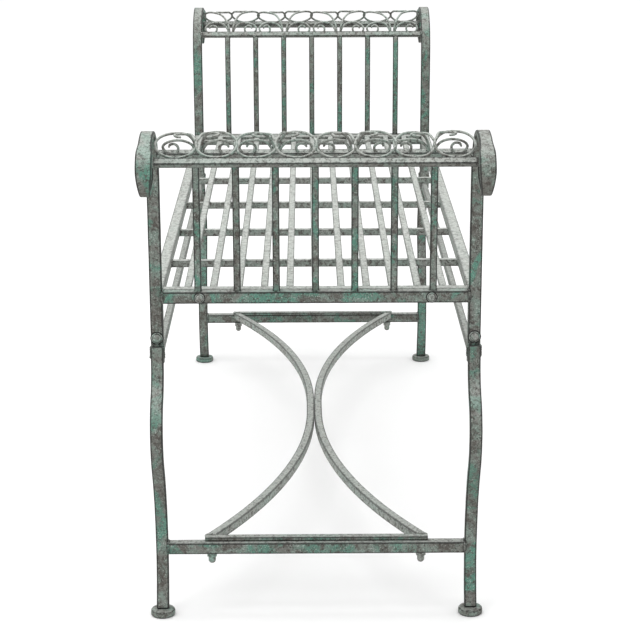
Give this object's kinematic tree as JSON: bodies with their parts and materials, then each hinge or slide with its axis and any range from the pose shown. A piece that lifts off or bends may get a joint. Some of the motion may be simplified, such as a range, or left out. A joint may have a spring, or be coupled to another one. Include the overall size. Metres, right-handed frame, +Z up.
{
  "type": "garden bench",
  "caption": "Backless forged-iron garden bench with rolled arms, spindles, wire scrollwork, a slatted seat and a bowed low brace.",
  "frame": {"origin": "on the floor, under the middle of the seat", "axes": "+X along the bench, +Y from front to back, +Z up"},
  "size_m": [1.395, 0.458, 0.6825],
  "materials": {
    "frame_iron": "weathered grey-green verdigris paint worn to dark pewter along edges",
    "seat_iron": "chalky pale grey-green distressed paint, dark in the hollows",
    "brace_iron": "weathered grey-green verdigris paint with teal patches",
    "feet": "dark grey-green worn iron",
    "fasteners": "painted over dark grey-green, worn on the domes"
  },
  "bodies": {
    "root": {"brace_back_bow": "brace_iron", "brace_front_bow": "brace_iron", "brace_left_strap": "brace_iron", "brace_right_strap": "brace_iron", "brace_studs": "fasteners", "left_arm_inner_rail": "frame_iron", "left_arm_outer_rail": "frame_iron", "left_arm_scrollwork": "frame_iron", "left_arm_spindles": "frame_iron", "left_back_foot": "feet", "left_back_leg": "frame_iron", "left_back_post": "frame_iron", "left_front_foot": "feet", "left_front_leg": "frame_iron", "left_front_post": "frame_iron", "left_seat_rail": "frame_iron", "left_stretcher": "brace_iron", "nuts": "fasteners", "post_bolts": "fasteners", "rail_bolts": "fasteners", "right_arm_inner_rail": "frame_iron", "right_arm_outer_rail": "frame_iron", "right_arm_scrollwork": "frame_iron", "right_arm_spindles": "frame_iron", "right_back_foot": "feet", "right_back_leg": "frame_iron", "right_back_post": "frame_iron", "right_front_foot": "feet", "right_front_leg": "frame_iron", "right_front_post": "frame_iron", "right_seat_rail": "frame_iron", "right_stretcher": "brace_iron", "seat_back_lower_rail": "seat_iron", "seat_back_rail": "seat_iron", "seat_cross_bar_1": "seat_iron", "seat_cross_bar_2": "seat_iron", "seat_cross_bar_3": "seat_iron", "seat_cross_bar_4": "seat_iron", "seat_cross_bar_5": "seat_iron", "seat_front_lower_rail": "seat_iron", "seat_front_rail": "seat_iron", "seat_left_back_upright": "seat_iron", "seat_left_end_bar": "seat_iron", "seat_left_front_upright": "seat_iron", "seat_left_ledge": "seat_iron", "seat_right_back_upright": "seat_iron", "seat_right_end_bar": "seat_iron", "seat_right_front_upright": "seat_iron", "seat_right_ledge": "seat_iron", "seat_slat_01": "seat_iron", "seat_slat_02": "seat_iron", "seat_slat_03": "seat_iron", "seat_slat_04": "seat_iron", "seat_slat_05": "seat_iron", "seat_slat_06": "seat_iron", "seat_slat_07": "seat_iron", "seat_slat_08": "seat_iron", "seat_slat_09": "seat_iron", "seat_slat_10": "seat_iron", "seat_slat_11": "seat_iron"}
  },
  "joints": []
}
